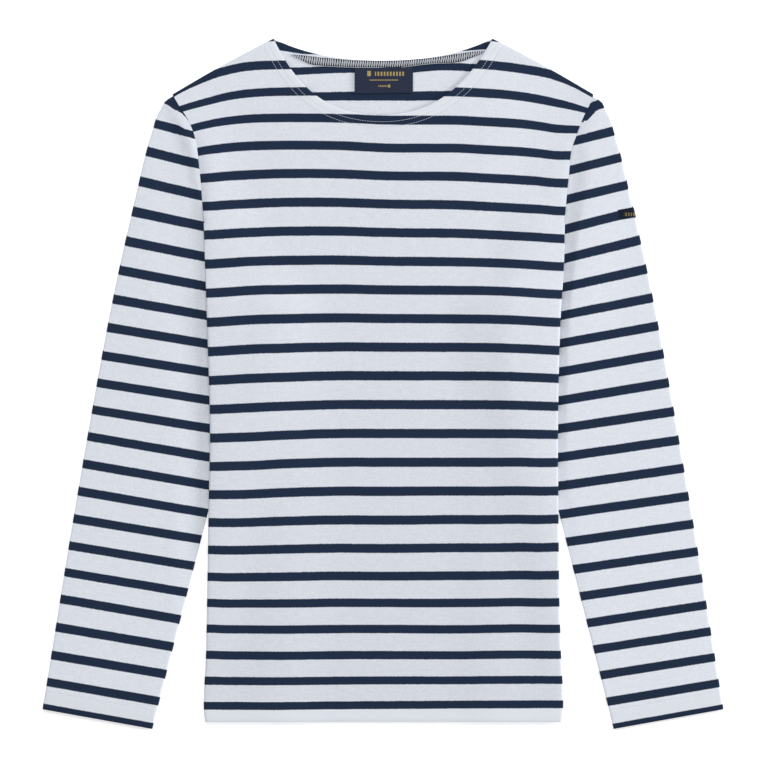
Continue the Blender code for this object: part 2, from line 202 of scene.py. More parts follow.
def readCurve(keys, values, key):  # a smooth curve through a table's points
    def slope(n):
        return (values[n + 1] - values[n]) / (keys[n + 1] - keys[n])

    if key <= keys[0]:
        return values[0]
    if key >= keys[-1]:
        return values[-1]
    i = 0
    while keys[i + 1] <= key:
        i += 1
    span = keys[i + 1] - keys[i]
    t = (key - keys[i]) / span
    first = slope(i) if i == 0 else (slope(i - 1) + slope(i)) / 2
    last = slope(i) if i == len(keys) - 2 else (slope(i) + slope(i + 1)) / 2
    near = values[i] * (1 + 2 * t) * (1 - t) ** 2 + first * span * t * (1 - t) ** 2
    return near + values[i + 1] * t * t * (3 - 2 * t) + last * span * t * t * (t - 1)


# The lie of the shirt: the same heights as the solids, which leave room for every layer.

def edgeX(side, y):
    return side * readCurve(bodySides["y"], bodySides[side], y)


def stripWidth(y):
    reach = (body["stripStartY"] - y) / (body["stripStartY"] - body["armpitY"])
    reach = min(max(reach, 0.0), 1.0)
    return body["lap"] + (body["stripWidth"] - body["lap"]) * reach ** body["stripCurve"]


def mouthX(side, y):
    return edgeX(side, y) - side * stripWidth(y)


def tuckedX(side, y):  # how far in the sleeve goes under the body
    if y > body["armpitY"]:
        return mouthX(side, y)
    (ax, ay), (bx, by) = sleeve["armpit"], sleeve["cuffInner"]
    return side * blend(ax, bx, (ay - y) / (ay - by))


def past(side, x, limit):
    return (limit - x) * side


def stripShare(y):
    return ease((190 - y) / 25)


def pocketShare(y):
    return ease((110 - y) / 32)


def overSleeve(x, y, soften=0.0):
    total = 0.0
    for side in (right, left):
        margin, fall = blend(2, 8, stripShare(y)), blend(12, 20, stripShare(y)) + soften
        total += ease((margin + fall - past(side, x, tuckedX(side, y))) / fall)
    return min(total, 1.0)


def overFold(x, y, soften=None):
    total = 0.0
    for side in (right, left):
        fall = 18 + (soften[side] if soften else 0)
        total += ease((fall + body["stripWidth"] - past(side, x, edgeX(side, y))) / fall)
    return min(total, 1.0)


def shoulderDistance(x, y):
    start, end = Vector(body["neck"]), Vector(body["tip"])
    along, point = end - start, Vector((abs(x), y)) - start
    t = min(max(point.dot(along) / along.length_squared, 0), 1)
    return (point - along * t).length


def sideRoll(x, y):  # the folded sides are puffed up and roll over softly
    total = 0.0
    for side in (right, left):
        inside = past(side, x, edgeX(side, y))
        rise, width = (readCurve(roll["y"], roll[side][n], y) for n in (0, 1))
        near = min(max(inside / width, 0), 1)
        far = ease((inside - width) / (roll["fade"] - width))
        total += rise * (1 - (1 - near) ** 2) * (1 - far)
    return total


def creaseHeight(x, y):
    total = 0.0
    for middleX, middleY, length, width, turn, height in creases:
        across, up = x - middleX, y - middleY
        along = across * math.cos(turn) + up * math.sin(turn)
        aside = up * math.cos(turn) - across * math.sin(turn)
        total += height * math.exp(-(along / length) ** 2 - (aside / width) ** 2)
    return total


def frontHeight(x, y):
    pitch = cloth["pitch"]
    side = right if x < 0 else left
    clear = past(side, x, edgeX(side, y)) - 30
    soft = ease(shoulderDistance(x, y) / 70) * ease(clear / 60)
    low = ease((240 - y) / 60)
    lift = pitch * (1 + stripShare(y)) * overSleeve(x, y, 40 * low)
    lift += 2 * pitch * pocketShare(y) * overFold(x, y, foldFall)
    ripple = 0.35 * (1 + noise.noise(Vector((x / 95, y / 160, 3.1)))) * soft
    away = ease(shoulderDistance(x, y) / 40)
    lift += (sideRoll(x, y) + creaseHeight(x, y)) * away
    return cloth["wall"] / 2 + pitch + lift + body["loft"] * soft + ripple


def underHeight(x, y):
    return cloth["wall"] / 2 + 2 * cloth["pitch"] * overSleeve(x, y)


def foldRadius(y):
    return cloth["pitch"] * (1 + 2 * pocketShare(y)) / 2


# Where a point of the cloth lies in the knit: stripes are whole numbers.

def middleStripeY(k):
    i = min(int(k + 4), len(middleStripes) - 2)
    return blend(middleStripes[i], middleStripes[i + 1], k + 4 - i)


def bodyStripe(x, y):
    drops = [readCurve(stripeDroop["x"], row, x) for row in stripeDroop["drop"]]
    low, high = -4.0, 28.0
    for turn in range(20):
        k = (low + high) / 2
        if middleStripeY(k) - readCurve(stripeDroop["stripe"], drops, k) > y:
            low = k
        else:
            high = k
    return (low + high) / 2


def sleeveStripe(side, x, y):
    (ox, oy), (px, py) = sleeveStripes["outerLine"]
    (ix, iy), (jx, jy) = sleeveStripes["innerLine"]
    rows, (outerHead, innerHead) = sleeveStripes[side], sleeveStripes["head"][side]
    low, high = -4.0, 26.0

    def lineY(values, head, k):
        last = len(values) - 1
        if k < 0:
            return values[0] + (head - values[0]) * -k
        if k > last:
            return values[-1] + (values[-1] - values[-2]) * (k - last)
        i = min(int(k), last - 1)
        return blend(values[i], values[i + 1], k - i)

    for turn in range(20):
        k = (low + high) / 2
        outerY, innerY = lineY(rows["outer"], outerHead, k), lineY(rows["inner"], innerHead, k)
        outerX = blend(ox, px, (oy - outerY) / (oy - py))
        innerX = blend(ix, jx, (iy - innerY) / (iy - jy))
        height = blend(innerY, outerY, (side * x - innerX) / (outerX - innerX))
        if height > y:
            low = k
        else:
            high = k
    beside = max(0.0, -past(side, x, edgeX(side, y)))
    curl = sleeve["curl"] * ease(1 - beside / sleeve["curlReach"]) * ease((y - 250) / 12)
    k = (low + high) / 2
    return k if k < -1 else max(k - curl, -1.0)


# Plan of the panels.

def neckline(neck, r):
    share = neck[right] if r < 0 else neck[left]
    rise = neck["rise"] * (share * r ** 2 + (1 - share) * r ** 4)
    return Vector((r * body["neck"][0], neck["low"] + rise))


def shoulderPoint(side, t, tip):
    x, y = (blend(tip[n], body["neck"][n], t) for n in (0, 1))
    return Vector((side * x, y + body["bulge"] * 4 * t * (1 - t)))


def topLine(neck, tip, shoulderCount, neckCount):
    points = [shoulderPoint(right, i / shoulderCount, tip) for i in range(shoulderCount)]
    points += [neckline(neck, math.sin(math.pi * (i / neckCount - 0.5))) for i in range(neckCount + 1)]
    return points + [shoulderPoint(left, 1 - i / shoulderCount, tip) for i in range(1, shoulderCount + 1)]


def patch(bottom, top, first, last):  # plan points between four edges that share their corners
    grid = []
    for r in range(len(first)):
        t, row = r / (len(first) - 1), []
        for c in range(len(bottom)):
            s = c / (len(bottom) - 1)
            edges = bottom[c].lerp(top[c], t) + first[r].lerp(last[r], s)
            row.append(edges - bottom[0].lerp(bottom[-1], s).lerp(top[0].lerp(top[-1], s), t))
        grid.append(row)
    return grid


def bodyRow(y, stripCount, middleCount):
    inset = foldRadius(y) + cloth["wall"] / 2 if y <= body["stripTopY"] else 0.0
    starts = {side: edgeX(side, y) - side * inset for side in (right, left)}
    ends = {side: edgeX(side, y) - side * body["stripWidth"] for side in (right, left)}
    row = [blend(starts[right], ends[right], i / stripCount) for i in range(stripCount)]
    row += [blend(ends[right], ends[left], i / middleCount) for i in range(middleCount)]
    row += [blend(ends[left], starts[left], i / stripCount) for i in range(stripCount + 1)]
    return [Vector((x, y)) for x in row]


def steps(a, b, size):
    count = max(1, round(abs(b - a) / size))
    return [blend(a, b, i / count) for i in range(count + 1)]


# Sheets of cloth: a middle surface with its place in the knit, given a wall by Solidify.

def makeSheet(name, nodes, cells, finish, wrap=None):
    shape = bmesh.new()
    placed = {key: shape.verts.new(Vector(node[0]) * mm) for key, node in nodes.items()}
    weave = shape.loops.layers.uv.new("knit")
    edges = shape.loops.layers.uv.new("edges")
    for r, c in cells:
        d = c + 1 if wrap is None else (c + 1) % wrap
        corners = [(r, c), (r, d), (r + 1, d), (r + 1, c)]
        face = shape.faces.new([placed[key] for key in corners])
        face.smooth = True
        for loop, key in zip(face.loops, corners):
            across, stripe = nodes[key][1]
            loop[weave].uv = (across * mm, stripe * cloth["repeat"] * mm)
            loop[edges].uv = Vector(nodes[key][2]) * mm
    data = bpy.data.meshes.new(name)
    piece = bpy.data.objects.new(name, data)
    group = piece.vertex_groups.new(name="layers")
    shape.verts.index_update()
    shares = [(placed[key].index, layers(node[2])) for key, node in nodes.items()]
    shape.to_mesh(data)
    shape.free()
    for index, share in shares:
        group.add([index], share, "REPLACE")
    wall = piece.modifiers.new("wall", "SOLIDIFY")
    wall.thickness = cloth["wall"] * mm
    wall.offset = 0
    wall.vertex_group = "layers"
    shade = piece.modifiers.new("flatShading", "WEIGHTED_NORMAL")
    shade.weight = 100
    data.materials.append(finish)
    bpy.context.scene.collection.objects.link(piece)
    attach(piece, "root")
    return piece


def layers(edge):  # share of the wall: double cloth in a turned-in band
    beyond = min(edge[0] - cloth["hemBand"], edge[1] - cloth["neckBand"])
    return blend(1.0, cloth["single"], ease(beyond / 2 + 0.5))


def turnNodes(start, side, radius, uv, edge, count):
    # A half turn from above to below, without its ends.
    nodes = []
    for i in range(1, count):
        angle = math.pi * i / count
        across = Vector((side * math.sin(angle), 0, math.cos(angle) - 1)) * radius
        nodes.append((start + across, (uv[0] + side * radius * angle, uv[1]), edge))
    return nodes


def makeFront(finish):
    step = cloth["step"]
    turnCount = cloth["turnSteps"]
    stripCount = round(body["stripWidth"] / step)
    middleCount = 2 * round(248 / step / 2)
    neckCount = 2 * round(300 / step / 2)
    shoulderCount = (2 * stripCount + middleCount - neckCount) // 2
    neckCount = 2 * stripCount + middleCount - 2 * shoulderCount
    low = steps(body["hemY"], body["armpitY"], step)
    low += steps(body["armpitY"], body["stripTopY"], step)[1:]
    plan = [bodyRow(y, stripCount, middleCount) for y in low]
    sides = {}
    for side in (right, left):
        ys = steps(body["yokeY"], body["tip"][1], step)
        sides[side] = [Vector((edgeX(side, y), y)) for y in ys]
    top = topLine(frontNeck, body["tip"], shoulderCount, neckCount)
    plan += patch(bodyRow(body["yokeY"], stripCount, middleCount), top, sides[right], sides[left])
    columns = len(plan[0]) - 1
    sideCount = turnCount + stripCount
    rim = top[shoulderCount:shoulderCount + neckCount + 1]
    nodes = {}
    for r, row in enumerate(plan):
        for i, (x, y) in enumerate(row):
            place = Vector((x, y, frontHeight(x, y)))
            edge = (y - body["hemY"], nearest(rim, x, y))
            nodes[r, sideCount + i] = (place, (x, bodyStripe(x, y)), edge)
        if r >= len(low):
            continue
        for side in (right, left):
            x, y = row[0] if side == right else row[-1]
            stripe, edge = bodyStripe(x, y), (y - body["hemY"], cloth["far"])
            start = Vector((x, y, frontHeight(x, y)))
            line = turnNodes(start, side, foldRadius(y), (x, stripe), edge, turnCount)
            for i in range(stripCount + 1):
                strip = blend(x, mouthX(side, y), i / stripCount)
                height = start.z - 2 * foldRadius(y) if i == 0 else underHeight(strip, y)
                across = x + side * (foldRadius(y) * math.pi + abs(strip - x))
                line.append((Vector((strip, y, height)), (across, stripe), edge))
            for i, node in enumerate(line):
                c = sideCount - 1 - i if side == right else sideCount + columns + 1 + i
                nodes[r, c] = node
    cells = []
    for r in range(len(plan) - 1):
        folded = r < len(low) - 1
        first = 0 if folded else sideCount
        cells += [(r, c) for c in range(first, sideCount + columns + (sideCount if folded else 0))]
    piece = makeSheet("frontPanel", nodes, cells, finish)
    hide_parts("front")
    print("front", len(cells), "faces")
    return piece


def nearest(line, x, y):  # distance from a line of points
    best = 1e9
    for a, b in zip(line, line[1:]):
        along = b - a
        t = min(max((Vector((x, y)) - a).dot(along) / along.length_squared, 0), 1)
        best = min(best, (a + along * t - Vector((x, y))).length)
    return best


def makeBack(finish):
    step = cloth["step"]
    turnCount = cloth["turnSteps"]
    stripCount = round(body["stripWidth"] / step)
    middleCount = 2 * round(248 / step / 2)
    low = steps(body["hemY"], body["armpitY"], step)
    plan = [bodyRow(y, stripCount, middleCount) for y in low]
    columns = len(plan[0]) - 1
    first, last = stripCount, columns - stripCount
    sides = {}
    for side in (right, left):
        ys = steps(body["armpitY"], body["tip"][1], step)
        sides[side] = [Vector((mouthX(side, y) - side * 0.4, y)) for y in ys]
    tip = (sides[left][-1].x, body["tip"][1])
    shoulderCount = round(middleCount * 0.24)
    top = topLine(backNeck, tip, shoulderCount, middleCount - 2 * shoulderCount)
    upper = patch(plan[-1][first:last + 1], top, sides[right], sides[left])
    wall, pitch = cloth["wall"], cloth["pitch"]
    sideCount = turnCount + stripCount
    nodes = {}

    def lowest(x, y):
        return 2 * pitch * overSleeve(x, y) + pitch * overFold(x, y)

    for r, row in enumerate(plan):
        y = row[0].y
        edge = (y - body["hemY"], cloth["far"])
        for c, (x, y) in enumerate(row):
            over = min(past(left, x, edgeX(left, y)), past(right, x, edgeX(right, y)))
            turned = ease((body["stripWidth"] + 8 - over) / 8)  # above its own folded strip
            place = Vector((x, y, lowest(x, y) + wall / 2 + pitch * turned))
            nodes[r, sideCount + c] = (place, (x, backStripe(x, y)), edge)
        for side in (right, left):
            x, y = row[0] if side == right else row[-1]
            top3 = nodes[r, sideCount + (0 if side == right else columns)][0]
            stripe = backStripe(x, y)
            line = turnNodes(top3, side, pitch / 2, (x, stripe), edge, turnCount)
            for i in range(stripCount + 1):
                strip = row[i] if side == right else row[-1 - i]
                height = lowest(*strip) + wall / 2
                across = x + side * (pitch * math.pi / 2 + abs(strip.x - x))
                line.append((Vector((strip.x, y, height)), (across, stripe), edge))
            for i, node in enumerate(line):
                c = sideCount - 1 - i if side == right else sideCount + columns + 1 + i
                nodes[r, c] = node
    for r, row in enumerate(upper[1:], start=len(plan)):
        for c, (x, y) in enumerate(row):
            place = Vector((x, y, wall / 2))
            nodes[r, sideCount + first + c] = (place, (x, backStripe(x, y)), (cloth["far"], cloth["far"]))
    cells = [(r, c) for r in range(len(plan) - 1) for c in range(columns + 2 * sideCount)]
    cells += [(r, sideCount + c) for r in range(len(plan) - 1, len(plan) + len(upper) - 2)
              for c in range(first, last)]
    piece = makeSheet("backPanel", nodes, cells, finish)
    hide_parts("back")
    print("back", len(cells), "faces")
    return piece


def backStripe(x, y):  # crowded towards the neck, and below that as on the front
    rows = [383 - readCurve(backRows["x"], row, x) for row in backRows["top"]]
    if y > rows[1]:
        return (rows[1] - y) / (rows[0] - rows[1])
    if y > rows[2]:
        return (rows[1] - y) / (rows[1] - rows[2])
    return 1 + bodyStripe(x, y + 4.9) - bodyStripe(x, rows[2] + 4.9)


def sleeveHeight(side, x, y):
    start, width, loft, crest, crestStart = (
        readCurve(sleeve["loftY"], sleeve[key][side], y)
        for key in ("loftStart", "loftWidth", "loft", "crest", "crestStart"))
    outside = -past(side, x, edgeX(side, y))
    ripple = 0.3 * noise.noise(Vector((x / 60, y / 120, 7.7 + side)))
    raised = ease((outside - start) / width)
    settled = ease((outside - start - width) / 60) * max(0.0, loft - 1.9)
    beside = crest * ease((outside + 1) / 2) * ease(1 - (outside - crestStart) / sleeve["crestWidth"])
    return cloth["wall"] / 2 + cloth["pitch"] + (loft + ripple) * raised - settled + beside


def sleeveRing(side, mouth, v):  # plan points across the sleeve, v of the way to the cuff
    cuffs = [Vector((side * x, y)) for x, y in (sleeve["cuffOuter"], sleeve["cuffInner"])]
    outerY = blend(body["tip"][1], cuffs[0].y, v)
    outer = Vector((side * readCurve(sleeve["outerY"], sleeve["outerX"], outerY), outerY))
    if v == 0:
        outer = mouth[0]
    inner = mouth[-1].lerp(cuffs[1], v)
    ring = []
    for i, start in enumerate(mouth):
        u = i / (len(mouth) - 1)
        end, chord = cuffs[0].lerp(cuffs[1], u), mouth[0].lerp(mouth[-1], u)
        ring.append(start.lerp(end, v) + outer.lerp(inner, u) - chord.lerp(end, v))
    return ring


def sleeveSection(side, ring, edge):
    wall = cloth["wall"]
    turnCount = cloth["turnSteps"]
    ends = []
    for i, j in ((0, 1), (-1, -2)):
        radius = (sleeveHeight(side, *ring[i]) - wall / 2) / 2
        ends.append((radius + wall / 2, (ring[i] - ring[j]).normalized()))
    upper, lower = [], []
    for i, point in enumerate(ring):
        u = i / (len(ring) - 1)
        x, y = point - ends[0][1] * ends[0][0] * (1 - u) - ends[1][1] * ends[1][0] * u
        stripe = sleeveStripe(side, x, y)
        upper.append((Vector((x, y, sleeveHeight(side, x, y))), (x, stripe), edge))
        lower.append((Vector((x, y, wall / 2)), (x + cloth["far"], stripe), edge))
    turns = []
    for node, end in ((upper[0], ends[0]), (upper[-1], ends[1])):
        bend, outward = (node[0].z - wall / 2) / 2, end[1].to_3d()
        turn = []
        for i in range(1, turnCount):
            angle = math.pi * i / turnCount
            move = outward * math.sin(angle) + Vector((0, 0, math.cos(angle) - 1))
            turn.append((node[0] + move * bend, node[1], edge))
        turns.append(turn)
    section = upper + turns[1] + lower[::-1] + turns[0][::-1]
    return section[::-1] if side == right else section


def makeSleeve(side, finish):
    name = "sleeveRight" if side == right else "sleeveLeft"
    ys = steps(body["tip"][1], body["armpitY"], cloth["step"])
    mouth = [Vector((mouthX(side, y), y)) for y in ys]
    count = round(sleeve["length"] / cloth["step"])
    nodes = {}
    for r in range(count + 1):
        v = r / count
        fromCuff = (1 - v) * sleeve["length"] + cloth["hemBand"] - sleeve["cuffBand"]
        section = sleeveSection(side, sleeveRing(side, mouth, v), (fromCuff, cloth["far"]))
        nodes.update({(r, c): node for c, node in enumerate(section)})
    cells = [(r, c) for r in range(count) for c in range(len(section))]
    piece = makeSheet(name, nodes, cells, finish, wrap=len(section))
    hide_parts("sleeve_right" if side == right else "sleeve_left")
    print(name, len(cells), "faces")
    return piece


# Shader maths as expressions on wires.

class Wire:
    def __init__(self, look, socket):
        self.look, self.socket = look, socket

    def join(self, operation, a, b=None):
        sockets = {0: a} if b is None else {0: a, 1: b}
        return self.look.node("ShaderNodeMath", {"operation": operation}, sockets)

    def __add__(self, other):
        return self.join("ADD", self, other)

    def __radd__(self, other):
        return self.join("ADD", other, self)

    def __sub__(self, other):
        return self.join("SUBTRACT", self, other)

    def __rsub__(self, other):
        return self.join("SUBTRACT", other, self)

    def __mul__(self, other):
        return self.join("MULTIPLY", self, other)

    def __rmul__(self, other):
        return self.join("MULTIPLY", other, self)

    def __truediv__(self, other):
        return self.join("DIVIDE", self, other)

    def fraction(self):
        return self.join("FRACT", self)

    def size(self):
        return self.join("ABSOLUTE", self)

    def sine(self):
        return self.join("SINE", self)

    def clamped(self):
        return self.join("MAXIMUM", self.join("MINIMUM", self, 1.0), 0.0)


class Look:
    def __init__(self, name, roughness, sheen, specular):
        self.material = bpy.data.materials.new(name)
        self.material.use_nodes = True
        self.tree = self.material.node_tree
        self.shader = self.tree.nodes["Principled BSDF"]
        self.shader.inputs["Roughness"].default_value = roughness
        self.shader.inputs["Sheen Weight"].default_value = sheen
        self.shader.inputs["Sheen Roughness"].default_value = 0.6
        self.shader.inputs["Specular IOR Level"].default_value = specular

    def node(self, kind, settings, sockets, out=0):
        made = self.tree.nodes.new(kind)
        for key, value in settings.items():
            setattr(made, key, value)
        for key, value in sockets.items():
            if isinstance(value, Wire):
                self.tree.links.new(value.socket, made.inputs[key])
            else:
                made.inputs[key].default_value = value
        return Wire(self, made.outputs[out])

    def noise(self, vector, scale, detail=2.0):
        return self.node("ShaderNodeTexNoise", {}, {"Vector": vector, "Scale": scale, "Detail": detail})

    def colours(self, factor, a, b):
        settings = {"data_type": "RGBA"}
        return self.node("ShaderNodeMix", settings, {0: factor, 6: a, 7: b}, out=2)

    def feed(self, name, wire):
        self.tree.links.new(wire.socket, self.shader.inputs[name])

    def raised(self, height, strength, distance):
        sockets = {"Height": height, "Strength": strength, "Distance": distance}
        self.feed("Normal", self.node("ShaderNodeBump", {}, sockets))


sewing = {
    "neckRows": (6.8, 11.8),  # distances from the neck's edge
    "pitch": 2.6,
    "colour": (0.62, 0.65, 0.71, 1),
    "neckThread": (0.86, 0.5, 0.45),  # share of the pitch, width and height above the cloth
    "hemThread": (0.8, 0.4, 0.36),
}

jersey = {
    "white": (0.775, 0.806, 0.866, 1),
    "whiteShade": (0.660, 0.697, 0.771, 1),
    "bandWhite": (0.742, 0.774, 0.834, 1),
    "navy": (0.0100, 0.0210, 0.0500, 1),
    "navyWorn": (0.0180, 0.0310, 0.0640, 1),
    "navyShare": 0.163,  # half a navy stripe, as a share of the repeat
    "wale": 1.15,
    "course": 0.95,
    "sewnWidth": 1.3,
    "sewnDepth": 0.5,
}


def makeJersey(name, lift):  # painted light and shade: how much whiter the colour is made near the shoulders, near the hem and in its band
    look = Look(name, 0.9, 0.03, 0.08)
    place = look.node("ShaderNodeTexCoord", {}, {}, out=3)
    height = look.node("ShaderNodeSeparateXYZ", {}, {0: place}, out=1)
    # Painted light: this mask grows towards the bottom, and the colour is made whiter or darker by it.
    lower = ((0.2 - height) * 2.0).clamped()
    uv = look.node("ShaderNodeUVMap", {"uv_map": "knit"}, {})
    edge = look.node("ShaderNodeUVMap", {"uv_map": "edges"}, {})
    u = look.node("ShaderNodeSeparateXYZ", {}, {0: uv}, out=0)
    v = look.node("ShaderNodeSeparateXYZ", {}, {0: uv}, out=1)
    streak = look.node("ShaderNodeVectorMath", {"operation": "MULTIPLY"}, {0: uv, 1: (1.0, 3.2, 1.0)})
    ragged = look.noise(uv, 520.0) - 0.5
    wander = look.noise(uv, 45.0) - 0.5
    phase = v / (cloth["repeat"] * mm) + wander * 0.020 + ragged * 0.030
    offset = ((phase + 0.5).fraction() - 0.5).size()
    navy = ((jersey["navyShare"] - offset) * 42.0 + 0.5).clamped()
    blotch = look.noise(streak, 110.0, 3.0)
    fibre = look.noise(streak, 420.0, 3.0)
    tone = ((blotch * 0.5 + fibre * 1.2 - 0.85) * 2.2 + 0.5).clamped()
    white = look.colours(tone, jersey["whiteShade"], jersey["white"])
    edges = [look.node("ShaderNodeSeparateXYZ", {}, {0: edge}, out=n) for n in (0, 1)]
    bands = (edges[0] - cloth["hemBand"] * mm, edges[1] - cloth["neckBand"] * mm)
    doubled = (bands[0].join("MINIMUM", bands[0], bands[1]) * -900.0 + 0.5).clamped()
    # Painted light: the doubled band's white is made whiter or darker towards the bottom.
    sockets = {0: jersey["bandWhite"][:3], "Scale": lower * (lift[2] - 1.0) + 1.0}
    band = look.node("ShaderNodeVectorMath", {"operation": "SCALE"}, sockets)
    white = look.colours(doubled, white, band)
    # Painted light: the whole white is made whiter or darker towards the bottom.
    paintedLightGain = lower * (lift[1] - lift[0]) + lift[0]
    white = look.node("ShaderNodeVectorMath", {"operation": "SCALE"}, {0: white, "Scale": paintedLightGain})
    dark = look.colours(fibre, jersey["navy"], jersey["navyWorn"])
    look.feed("Base Color", look.colours(navy, white, dark))
    wale = u / (jersey["wale"] * mm)
    vee = (wale.fraction() - 0.5).size()
    row = v / (jersey["course"] * mm) + vee
    height = (row * (2 * math.pi)).sine() * 0.30 + vee * 1.0 + blotch * 1.1 + fibre * 0.6
    pucker = look.noise(uv, 330.0) * 0.5 + 0.75
    sewn = [(0, cloth["hemBand"])] + [(1, distance) for distance in sewing["neckRows"]]
    for axis, distance in sewn:
        near = (1.0 - (edges[axis] - distance * mm).size() / (jersey["sewnWidth"] * mm)).clamped()
        height = height - near * pucker * jersey["sewnDepth"]
    look.raised(height, 0.40, 0.0004)
    return look.material


def makeThread(name, colour):
    look = Look(name, 0.75, 0.1, 0.2)
    place = look.node("ShaderNodeTexCoord", {}, {}, out=3)
    grain = look.noise(place, 2600.0)
    darker = tuple(c * 0.75 for c in colour[:3]) + (1,)
    look.feed("Base Color", look.colours(grain, darker, colour))
    return look.material


labelColours = {"ground": (0.014, 0.020, 0.044, 1), "groundLight": (0.026, 0.034, 0.064, 1),
                "gold": (0.38, 0.29, 0.12, 1)}


def makeWoven(name, bars):
    look = Look(name, 0.75, 0.05, 0.12)
    place = look.node("ShaderNodeTexCoord", {}, {}, out=3)
    x = look.node("ShaderNodeSeparateXYZ", {}, {0: place}, out=0)
    y = look.node("ShaderNodeSeparateXYZ", {}, {0: place}, out=1)
    grain = look.noise(place, 1500.0)
    colour = look.colours(grain, labelColours["ground"], labelColours["groundLight"])
    for middleX, middleY, halfWidth, halfHeight, pitch, filled in bars:
        insideX = ((halfWidth * mm - (x - middleX * mm).size()) * 4000.0 + 0.5).clamped()
        insideY = ((halfHeight * mm - (y - middleY * mm).size()) * 4000.0 + 0.5).clamped()
        bar = (filled / 2 - ((x / (pitch * mm)).fraction() - 0.5).size()) * (pitch * 4.0) + 0.5
        colour = look.colours(insideX * insideY * bar.clamped(), colour, labelColours["gold"])
    look.feed("Base Color", colour)
    twill = ((x + y) * (2 * math.pi / 0.0009)).sine()
    look.raised(twill * 0.5 + grain, 0.4, 0.0003)
    return look.material


# Rows of plain gold bars: middle, half width and height, pitch of the bars and how much of it they fill.
labelBars = (
    (-14.5, 309.5, 2.4, 2.6, 9.0, 0.5),
    (6.5, 309.3, 14.5, 2.1, 3.1, 0.55),
    (1.0, 303.0, 14.5, 0.65, 1.7, 0.62),
    (0.0, 297.0, 4.5, 0.8, 1.7, 0.62),
    (7.5, 297.0, 2.4, 1.5, 9.0, 0.6),
)
tabBars = ((246.5, 168.6, 5.5, 1.7, 2.6, 0.55),)

label = {
    "x": (-28.4, 30.0),
    "y": (290.0, 315.5),
    "low": 1.3,
    "thickness": 0.8,
    "ripple": 0.35,
    "wave": 0.4,
}

tab = {
    "y": 168.6,
    "length": 20.5,
    "height": 10.0,
    "thickness": 0.7,
    "tilt": 0.17,
    "gap": 0.3,
    "clear": 0.2,
    "turn": 80.0,  # how far it goes round the outer fold, in degrees
}


def makeLabel():
    shape = bmesh.new()
    bmesh.ops.create_grid(shape, x_segments=24, y_segments=12, size=0.5)
    size = Vector((label["x"][1] - label["x"][0], label["y"][1] - label["y"][0], 1))
    bmesh.ops.scale(shape, vec=size * mm, verts=shape.verts[:])
    middle = Vector((sum(label["x"]) / 2, sum(label["y"]) / 2, label["low"]))
    bmesh.ops.translate(shape, vec=middle * mm, verts=shape.verts[:])
    for vert in shape.verts:
        vert.co.z += label["ripple"] * mm * (1 + noise.noise(vert.co * 60)) / 2
        vert.co.y += label["wave"] * mm * math.sin(vert.co.x * 90)
    bmesh.ops.solidify(shape, geom=shape.faces[:], thickness=-label["thickness"] * mm)
    piece = finishPiece("neckLabel", shape, makeWoven("labelTape", labelBars))
    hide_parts("neck_label")
    return piece


def finishPiece(name, shape, finish):
    for face in shape.faces:
        face.smooth = True
    bmesh.ops.recalc_face_normals(shape, faces=shape.faces[:])
    data = bpy.data.meshes.new(name)
    shape.to_mesh(data)
    shape.free()
    data.set_sharp_from_angle(angle=math.radians(40))
    data.materials.append(finish)
    piece = bpy.data.objects.new(name, data)
    bpy.context.scene.collection.objects.link(piece)
    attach(piece, "root")
    return piece


def makeTab():
    half = tab["thickness"] / 2
    shape = bmesh.new()
    grid = []
    flat = [tab["length"] * (1 - i / 10) for i in range(11)]
    turns = [(inward, 0.0) for inward in flat]
    turns += [(0.0, math.radians(tab["turn"]) * i / 6) for i in range(1, 7)]
    for r in range(7):
        row = []
        for inward, angle in turns:
            y = tab["y"] + tab["height"] * (r / 6 - 0.5) + tab["tilt"] * (tab["length"] / 2 - inward)
            outer = readCurve(sleeve["outerY"], sleeve["outerX"], y)
            top = sleeveHeight(left, outer, y) + cloth["wall"] / 2 + tab["gap"] + half
            bend = (top - half - tab["gap"]) / 2
            radius = bend + tab["gap"] + half
            x = outer - bend + tab["clear"] - inward + radius * math.sin(angle)
            place = Vector((x, y, top - radius * (1 - math.cos(angle))))
            row.append(shape.verts.new(place * mm))
        grid.append(row)
    for a, b in zip(grid, grid[1:]):
        for i in range(len(a) - 1):
            shape.faces.new((a[i], a[i + 1], b[i + 1], b[i]))
    bmesh.ops.solidify(shape, geom=shape.faces[:], thickness=tab["thickness"] * mm)
    piece = finishPiece("sleeveTab", shape, makeWoven("tabTape", tabBars))
    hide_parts("sleeve_tab")
    return piece


# Threads: each stitch is a small bead of thread laid on the cloth.

def makeStitches(name, runs, finish, length, width):
    shape = bmesh.new()
    for start, end in runs:
        middle, along = (start + end) / 2, end - start
        size = Matrix.Diagonal((width * mm, width * mm, along.length * mm * length, 1))
        turn = along.to_track_quat("Z", "Y").to_matrix().to_4x4()
        place = Matrix.Translation(middle * mm) @ turn @ size
        bmesh.ops.create_uvsphere(shape, u_segments=6, v_segments=4, radius=0.5, matrix=place)
    piece = finishPiece(name, shape, finish)
    print(name, len(runs), "stitches")
    return piece


def spaced(line, pitch):  # points at an even pitch along a line of points
    points, carried = [line[0].copy()], 0.0
    for a, b in zip(line, line[1:]):
        span = (b - a).length
        while carried + span >= pitch:
            a = a.lerp(b, (pitch - carried) / span)
            span = (b - a).length
            points.append(a.copy())
            carried = 0.0
        carried += span
    return points


def movedInward(line, distance):  # a plan line moved to its right-hand side
    moved = []
    for i, point in enumerate(line):
        along = (line[min(i + 1, len(line) - 1)] - line[max(i - 1, 0)]).normalized()
        moved.append(point + Vector((along.y, -along.x)) * distance)
    return moved


def lay(line, heightAt, above):
    return [Vector((x, y, heightAt(x, y) + above)) for x, y in line]


def seamRuns(line, heightAt, pitch, above):
    points = lay(spaced(line, pitch), heightAt, above)
    return [(a, b) for a, b in zip(points, points[1:])]


